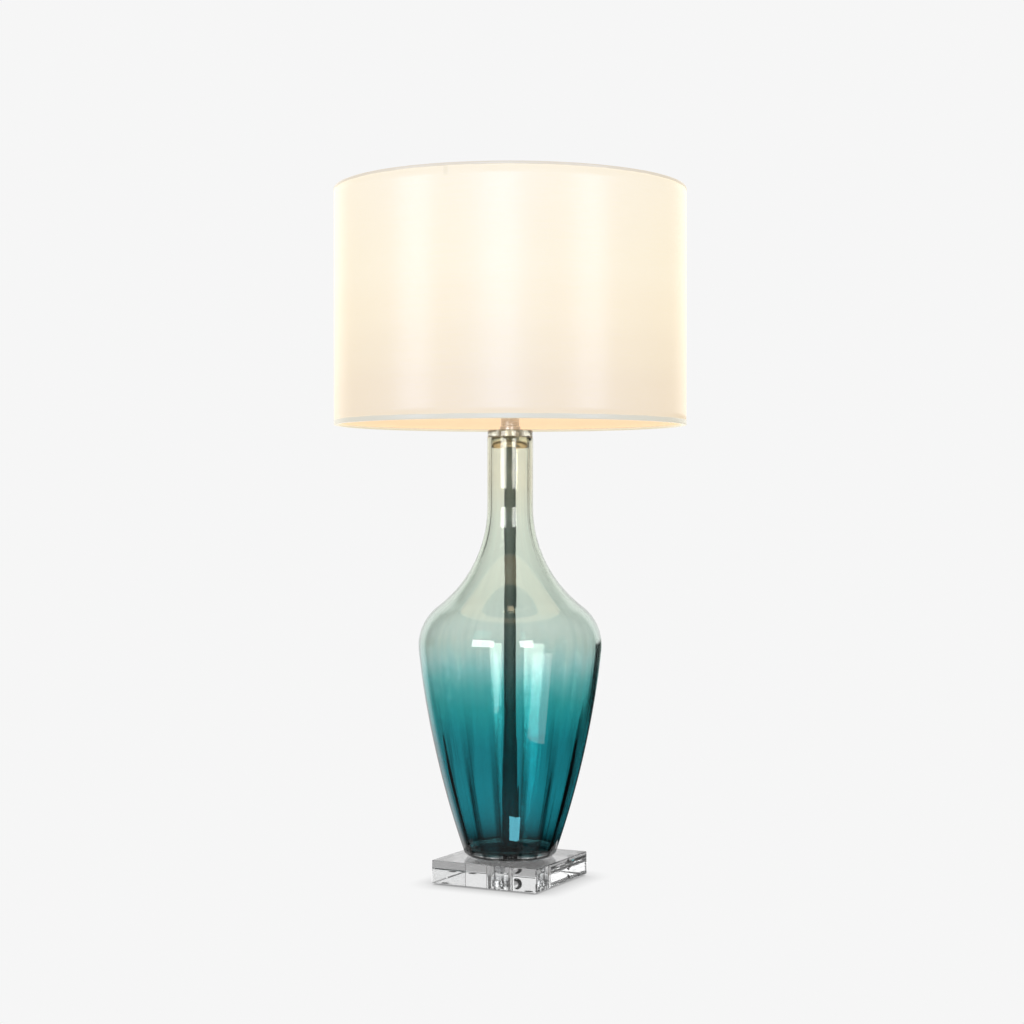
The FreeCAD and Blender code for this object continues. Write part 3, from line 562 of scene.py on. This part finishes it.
def lit_cloth(name, base, glows, shine, marks=True):
    """White satin with the bulb's light coming through it. glows gives that light from the bottom up, and
    marks adds the painted shadows of the spider arms' ends."""
    finish = Finish(name, Specular_IOR_Level=shine, Emission_Strength=1.0)
    threads = weave(finish)
    long_slub = finish.noise(0.6 * MM, 2.0, (0.03, 0.03, 1))
    cloud = finish.noise(70 * MM, 2.0)
    dark = tuple(c * 0.93 for c in base)
    finish.link("Base Color", finish.ramp(long_slub, [(0.3, dark), (0.7, base)]))
    glow = finish.ramp(share_of_height(finish, "shade_fabric"), glows)
    grain = finish.maths("MULTIPLY_ADD", long_slub, 0.020, finish.maths("MULTIPLY_ADD", cloud, 0.03, 0.975))
    # Painted shadows of the spider arms' ends darken the glow.
    if marks:
        grain = finish.maths("MULTIPLY", grain, painted_arm_shadows(finish))
    finish.link("Emission Color", finish.tinted(glow, grain))
    finish.roughen(threads, 0.24, 0.32)
    finish.bump(threads, 0.012 * MM)
    return finish


def lit_liner():
    """Styrene sheet, seen from inside the shade and lit by the bulb."""
    finish = Finish("shade_liner", Emission_Strength=1.0)
    mottle = finish.noise(40 * MM, 3.0)
    grain = finish.noise(0.4 * MM, 2.0)
    finish.link("Base Color", finish.ramp(grain, [(0.3, (0.40, 0.36, 0.28)), (0.7, (0.46, 0.41, 0.32))]))
    glow = finish.ramp(share_of_height(finish, "shade_fabric"), LINER_GLOWS)
    finish.link("Emission Color", finish.tinted(glow, finish.maths("MULTIPLY_ADD", mottle, 0.06, 0.97)))
    finish.roughen(grain, 0.35, 0.5)
    finish.bump(grain, 0.01 * MM)
    return finish


# Glass body ------------------------------------------------------------------------------------

def vessel_side(inset, bottom, corner_r, top):
    """Outline of the vase from the top of the neck down to the foot, moved in by inset."""
    flare_at = (NECK_R + FLARE_R, NECK_START_Z)
    rise = NECK_START_Z - BELLY_Z
    reach = FLARE_R + NECK_R - BELLY_R
    shoulder_r = (rise ** 2 + reach ** 2 - FLARE_R ** 2) / (2 * (FLARE_R - reach))
    shoulder_at = (BELLY_R - shoulder_r, BELLY_Z)
    lean = math.degrees(math.atan2(rise, flare_at[0] - shoulder_at[0]))
    side_at = polar(shoulder_at, SIDE_R - shoulder_r, 180 - SIDE_START_DEG)
    inner_r = SIDE_R - inset
    drop = side_at[1] - bottom - corner_r
    corner_at = (side_at[0] + math.sqrt((inner_r - corner_r) ** 2 - drop ** 2), bottom + corner_r)
    low_deg = -math.degrees(math.asin(drop / (inner_r - corner_r)))
    return (
        straight((NECK_R - inset, top), (NECK_R - inset, NECK_START_Z), NECK_STEP)[:-1]
        + arc(flare_at, FLARE_R + inset, 180, 180 + lean, FLARE_STEP_DEG)
        + arc(shoulder_at, shoulder_r - inset, lean, -SIDE_START_DEG, SHOULDER_STEP_DEG)[1:]
        + arc(side_at, inner_r, -SIDE_START_DEG, low_deg, SIDE_STEP_DEG)[1:]
        + arc(corner_at, corner_r, low_deg, -90, CORNER_STEP_DEG)[1:]
    )


def flattened(r, z, turn, share):
    """Flattens the wall into upright facets, one of them square to the camera, that fade on the way up."""
    half = math.pi / FACETS
    fade = smooth((FACET_HIGH_Z - z) / (FACET_HIGH_Z - FACET_LOW_Z))
    off = (turn - FACET_TURN + half) % (2 * half) - half
    return r * (1 - fade * share * (1 - math.cos(half) / math.cos(off)))


def make_glass_body():
    """Vase with its facets: the outer and the inner wall have looks of their own."""
    low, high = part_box("glass_body")
    floor_z = low.z + GLASS_FLOOR
    lip_z = high.z - LIP_R
    lip_in = NECK_R - GLASS_WALL + LIP_R
    outside = vessel_side(0, low.z, FOOT_CORNER_R, lip_z)
    inside = vessel_side(GLASS_WALL, floor_z, FLOOR_CORNER_R, lip_z)
    lip = arc((NECK_R - LIP_R, lip_z), LIP_R, 90, 0, LIP_STEP_DEG) + [(NECK_R, lip_z - MM)]
    rim = arc((lip_in, lip_z), LIP_R, 180, 90, LIP_STEP_DEG)
    outer = lip + outside + straight(outside[-1], (GLASS_HOLE_R, low.z), FLOOR_STEP)
    hole = straight((GLASS_HOLE_R, low.z), (GLASS_HOLE_R, floor_z), FLOOR_STEP)
    inner = straight((GLASS_HOLE_R, floor_z), inside[-1], FLOOR_STEP)[:-1] + inside[::-1]
    outline = outer + hole + inner + rim
    first_inner = len(outer) + len(hole)

    def bend(index, r, z, turn):
        # The hole through the floor stays round
        if r > GLASS_HOLE_R * 1.01:
            r = flattened(r, z, turn, FACET_OUTSIDE if index < first_inner else 1.0)
        return r, z

    body = revolve("glass_vase", outline, FACETS * FACET_STEPS, bend)
    paint(body, teal_skin(), inner_glass())
    rows = len(outline)
    last_inner = rows - len(rim)
    for polygon in body.data.polygons:
        steps = [v % rows for v in polygon.vertices]
        polygon.material_index = int(min(steps) >= first_inner - 1 and max(steps) <= last_inner)
    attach(body, "lamp")
    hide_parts("glass_body")
    return body


# Shade -----------------------------------------------------------------------------------------

def drum(name, outline):
    """Wall of the shade, a little out of round, as where it was rolled and glued."""

    def bend(index, r, z, turn):
        return r + waves(DRUM_WAVES, turn), z

    return revolve(name, outline, SHADE_STEPS, bend)


def skin_outline(node):
    """Section of a thin wall whose outside is the node's own."""
    low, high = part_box(node)
    outer = high.x
    up = straight((outer, low.z), (outer, high.z), SKIN_STEP)
    down = straight((outer - SKIN, high.z), (outer - SKIN, low.z), SKIN_STEP)
    return [(outer, low.z)] + up + [(outer - SKIN, high.z)] + down


def make_cloth():
    """Satin outside of the shade, held round by the two wire rings."""
    cloth = drum("shade_cloth", skin_outline("shade_fabric"))
    paint(cloth, lit_cloth("white_satin", SATIN, CLOTH_GLOWS, SATIN_SHINE))
    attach(cloth, "shade")
    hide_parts("shade_fabric")
    return cloth


def make_liner():
    """Stiff plastic inside of the shade."""
    liner = drum("shade_lining", skin_outline("shade_liner"))
    paint(liner, lit_liner())
    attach(liner, "shade")
    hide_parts("shade_liner")


def hem_outline(edge_z, way, leg):
    """Section of a tape folded over the shade's edge. way is 1 at the top and -1 at the bottom."""
    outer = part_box("shade_top_hem")[1].x - DRUM_REACH
    inner = outer - HEM_DEPTH + DRUM_REACH
    centre_z = edge_z - way * HEM_BEND_R
    outer_at = (outer - HEM_BEND_R, centre_z)
    inner_at = (inner + HEM_BEND_R, centre_z)
    turn_out = arc(outer_at, HEM_BEND_R, 0, 90 * way, HEM_STEP_DEG)
    turn_in = arc(inner_at, HEM_BEND_R, 90 * way, 180 * way, HEM_STEP_DEG)
    turn_back = arc(inner_at, HEM_BEND_R - TAPE, 180 * way, 90 * way, HEM_STEP_DEG)
    turn_down = arc(outer_at, HEM_BEND_R - TAPE, 90 * way, 0, HEM_STEP_DEG)
    end_z = edge_z - way * leg
    lip_z = end_z + way * HEM_LIP * 2
    inner_z = edge_z - way * HEM_INNER_LEG
    return (
        [(outer - HEM_LIP, end_z), (outer, lip_z)]
        + straight((outer, lip_z), (outer, centre_z), 1.5 * MM)[:-1]
        + turn_out + turn_in
        + [(inner, inner_z), (inner + TAPE, inner_z)]
        + turn_back + turn_down
        + [(outer - TAPE, end_z)]
    )


def make_hem(name, node, edge_z, way, leg):
    """Tape with a slightly wavering cut edge, out of round like the drum. leg is how far it comes down or up
    over the outside."""
    outline = hem_outline(edge_z, way, leg)
    end_z = edge_z - way * leg

    def bend(index, r, z, turn):
        cut = 1 - min(1, abs(z - end_z) / CUT_REACH)
        return r + waves(DRUM_WAVES, turn), z + cut * waves(CUT_WAVES, turn)

    tape = revolve(name, outline, SHADE_STEPS, bend)
    paint(tape, lit_cloth(name + "_tape", TAPE_WHITE, HEM_GLOWS, TAPE_SHINE, marks=False))
    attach(tape, "shade")
    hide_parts(node)
    return tape


def make_seam():
    """Overlap of the cloth's two ends: a low strip with softened edges, glued down the back."""
    low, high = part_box("shade_seam")
    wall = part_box("shade_fabric")[1].x
    back = wall + SEAM_GLUE
    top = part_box("shade_top_hem")[1].x - DRUM_REACH - SEAM_SUNK
    middle = math.atan2((low.y + high.y) / 2, (low.x + high.x) / 2)
    spread = math.dist((low.x, low.y), (high.x, high.y)) / wall
    outer = straight((top, low.z), (top, high.z), SEAM_RISE_STEP)
    outline = [(top, low.z)] + outer + [(back, high.z), (back, low.z)]

    def bend(index, r, z, turn):
        side = abs(turn - middle) / (spread / 2)
        thin = smooth((side - 1 + SEAM_SOFT) / SEAM_SOFT)
        height = (r - wall) * (1 - (1 - SEAM_EDGE) * thin)
        return wall + height + waves(DRUM_WAVES, turn), z

    strip = revolve("shade_seam_strip", outline, SEAM_STEPS, bend, start=middle - spread / 2, spread=spread)
    paint(strip, lit_cloth("white_satin_seam", SATIN, SEAM_GLOWS, SATIN_SHINE, marks=False))
    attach(strip, "shade")
    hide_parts("shade_seam")
    return strip


# Stage, light and camera -----------------------------------------------------------------------

def around_lamp(offset, distance, height):
    """A point round the lamp at an angle from the camera's side, to the camera's right if positive."""
    turn = math.radians(CAMERA_AZIMUTH + offset)
    return Vector((math.sin(turn) * distance, -math.cos(turn) * distance, height))


def make_camera():
    turn = math.radians(CAMERA_AZIMUTH)
    aside = Vector((math.cos(turn), math.sin(turn), 0)) * AIM_ASIDE
    camera = bpy.data.objects.new("camera", bpy.data.cameras.new("camera"))
    bpy.context.scene.collection.objects.link(camera)
    camera.data.lens = LENS
    camera.data.sensor_width = SENSOR
    camera.location = around_lamp(0, CAMERA_DISTANCE, CAMERA_HEIGHT)
    aim = Vector((0, 0, AIM_HEIGHT)) + aside
    camera.rotation_mode = "QUATERNION"
    camera.rotation_quaternion = (aim - camera.location).to_track_quat("-Z", "Y")
    bpy.context.scene.camera = camera


def softbox(name, offset, distance, low, high, width, brightness, colour, lit):
    """Upright soft light facing the lamp, from height low to high, that lights only what is in lit."""
    light = bpy.data.lights.new(name, "AREA")
    light.shape = "RECTANGLE"
    light.size, light.size_y = width, high - low
    light.energy = brightness * math.pi * width * (high - low)
    light.color = colour
    lamp = bpy.data.objects.new(name, light)
    bpy.context.scene.collection.objects.link(lamp)
    lamp.location = around_lamp(offset, distance, (low + high) / 2)
    lamp.rotation_mode = "QUATERNION"
    level = Vector((-lamp.location.x, -lamp.location.y, 0))
    lamp.rotation_quaternion = level.to_track_quat("-Z", "Y")
    lamp.light_linking.receiver_collection = lit


def gathered(name, objects):
    """Collection that tells lights what to light."""
    group = bpy.data.collections.new(name)
    for obj in objects:
        group.objects.link(obj)
    return group


def glowing_paper(name, strength):
    """Matt paper that shows its own colour whatever light falls on it."""
    return Finish(name, Base_Color=(0, 0, 0, 1), Roughness=1.0, Emission_Strength=strength,
                  Specular_IOR_Level=0.0)


def make_stage():
    """Pale floor that runs out of sight, seen by the camera only, with a soft shadow close to the base. A
    small grey floor, painted as the floor lying in the lamp's shade, takes its place in what is seen through
    clear pieces. Neither is seen in reflections."""
    floor = revolve("floor", [(r, 0) for r in FLOOR_RINGS], FLOOR_STEPS, closed=False)
    paper = glowing_paper("floor_paper", 1.0)
    near = paper.add("ShaderNodeAmbientOcclusion", {"Distance": SHADOW_REACH}, samples=8)
    stops = [(0, (CONTACT_SHADOW,) * 3), (1, (PALE,) * 3)]
    paper.link("Emission Color", paper.ramp(near.outputs["AO"], stops, "LINEAR"))
    shaded_floor = revolve("shaded_floor", [(r, 0) for r in SHADED_RINGS], FLOOR_STEPS, closed=False)
    grey_paper = glowing_paper("shaded_paper", SHADED_PAPER)
    fibre = grey_paper.noise(0.7 * MM, 4.0)
    stops = [(0.3, (0.85, 0.84, 0.84)), (0.7, (1, 1, 1))]
    grey_paper.link("Emission Color", grey_paper.ramp(fibre, stops, "LINEAR"))
    for ground, finish in ((floor, paper), (shaded_floor, grey_paper)):
        paint(ground, finish)
        ground.visible_diffuse = False
        ground.visible_glossy = False
        ground.visible_shadow = False
        ground.visible_camera = ground is floor
        ground.visible_transmission = ground is shaded_floor


def make_world():
    """Pale all round to the camera. The lamp's pieces see a pale backdrop behind them from the main camera, a
    dim room everywhere else, a dark side below the horizon on the right, and a grey floor steeply below."""
    world = bpy.data.worlds.new("studio")
    world.use_nodes = True
    bpy.context.scene.world = world
    tree = world.node_tree
    background = tree.nodes["Background"]

    def add(kind, inputs, output=0, **settings):
        node = tree.nodes.new(kind)
        for key, value in settings.items():
            setattr(node, key, value)
        for key, value in inputs.items():
            if isinstance(value, bpy.types.NodeSocket):
                tree.links.new(value, node.inputs[key])
            else:
                node.inputs[key].default_value = value
        return node.outputs[output]

    def along(vector):
        return add("ShaderNodeVectorMath", {0: way, 1: vector}, "Value", operation="DOT_PRODUCT")

    def step(value, low, high):
        inputs = {"Value": value, "From Min": low, "From Max": high}
        return add("ShaderNodeMapRange", inputs, interpolation_type="SMOOTHSTEP")

    def blend(share, a, b):
        return add("ShaderNodeMix", {"Factor": share, "A": a, "B": b}, data_type="FLOAT")

    way = add("ShaderNodeTexCoord", {}, "Generated")
    turn = math.radians(CAMERA_AZIMUTH)
    right = along((math.cos(turn), math.sin(turn), 0))
    behind = along((-math.sin(turn), math.cos(turn), 0))
    up = along((0, 0, 1))
    room = blend(step(behind, *BACKDROP_EDGE), ROOM_FRONT, PALE)
    low_right = {0: step(up, *HORIZON), 1: step(right, *RIGHT_EDGE)}
    room = blend(add("ShaderNodeMath", low_right, operation="MULTIPLY"), room, ROOM_DARK)
    room = blend(step(up, *FLOOR_EDGE), room, ROOM_FLOOR)
    camera_ray = add("ShaderNodeLightPath", {}, "Is Camera Ray")
    tree.links.new(blend(camera_ray, room, PALE), background.inputs[1])
    background.inputs[0].default_value = (1, 1, 1, 1)


def make_lights(shade_pieces, other_pieces, vase):
    """Lights that each reach one group of pieces. Soft bands lie on the satin, and the studio's windows show
    in everything else. The vase, the clear base and the neck's cap have more lights of their own, placed for
    what the main camera sees in them."""
    groups = [
        ("lit_shade", shade_pieces, SATIN_LIGHTS),
        ("lit_rest", other_pieces, WINDOW_LIGHTS),
        ("lit_vase", [vase], VASE_LIGHTS),
        ("lit_base", [frame["nodes"]["base_block"]], BASE_LIGHTS),
        ("lit_cap", [frame["nodes"]["neck_cap"]], CAP_LIGHTS),
    ]
    for name, pieces, lights in groups:
        lit = gathered(name, pieces)
        for light in lights:
            softbox(*light, lit)


make_camera()
make_stage()
make_world()

vase = make_glass_body()
cloth = make_cloth()
make_liner()
top_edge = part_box("shade_top_hem")[1].z
bottom_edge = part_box("shade_bottom_hem")[0].z
top_hem = make_hem("top_hem", "shade_top_hem", top_edge, 1, HEM_TOP_LEG)
bottom_hem = make_hem("bottom_hem", "shade_bottom_hem", bottom_edge, -1, HEM_BOTTOM_LEG)
seam = make_seam()

chrome = polished_metal("chrome", (0.82, 0.82, 0.83), 0.02, 0.14)
satin_chrome = brushed_metal("satin_chrome", (0.80, 0.78, 0.77), 0.22, 0.34)
zinc = polished_metal("zinc", (0.64, 0.65, 0.66), 0.18, 0.42)
nickel = brushed_metal("nickel", (0.74, 0.71, 0.66), 0.16, 0.32)
brass = polished_metal("brass", (0.80, 0.60, 0.28), 0.12, 0.35)
aluminium = brushed_metal("aluminium", (0.80, 0.80, 0.79), 0.22, 0.38)
crystal = crystal_block()
vinyl = soft_vinyl()
# Pale straw tint, partly the glass's own and partly painted warm light from the lit shade above the neck.
straw_and_glow_glass = clear_glass("straw_and_glow_glass", (0.90, 0.89, 0.76), 0.8)
stem_glass = clear_glass("stem_glass", (0.97, 0.985, 0.98))

# Looks by material slot, and then by node where a piece differs from its slot
LOOKS = {
    "crystal": crystal,
    "clear_vinyl": vinyl,
    "clear_glass": straw_and_glow_glass,
    "zinc_steel": zinc,
    "polished_chrome": chrome,
    "brass": brass,
    "nickel": nickel,
    "aluminium": aluminium,
    "white_plastic": plain_surface("white_plastic", (0.88, 0.87, 0.83), 0.30, 0.50),
    "black_plastic": plain_surface("black_plastic", (0.03, 0.03, 0.03), 0.18, 0.40, 1.2 * MM, 0.03 * MM),
    "card": fibre_card(),
    "frosted_glass": frosted_bulb(),
    "white_wire": plain_surface("white_coat", (0.85, 0.85, 0.82), 0.28, 0.42, 0.9 * MM, 0.05 * MM),
}
OWN_LOOKS = {
    "neck_tube": satin_chrome,
    "neck_collar": satin_chrome,
    "bulb_stem": stem_glass,
    # The chrome sleeve is painted dark: painted shade for how dimly it shows through the tinted glass.
    "rod_sleeve": plain_surface("painted_shade_sleeve", (0.21, 0.26, 0.26), 0.30, 0.45),
}
for row in frame["record"]["subparts"]:
    node = row["node"]
    finish = OWN_LOOKS.get(node) or LOOKS.get(row["material_slot"])
    if finish:
        paint(frame["nodes"][node], finish)

shade_pieces = [cloth, top_hem, bottom_hem, seam]
meshes = [obj for obj in bpy.context.scene.objects if obj.type == "MESH"]
make_lights(shade_pieces, [obj for obj in meshes if obj not in shade_pieces], vase)

bpy.context.scene.view_settings.view_transform = "Standard"
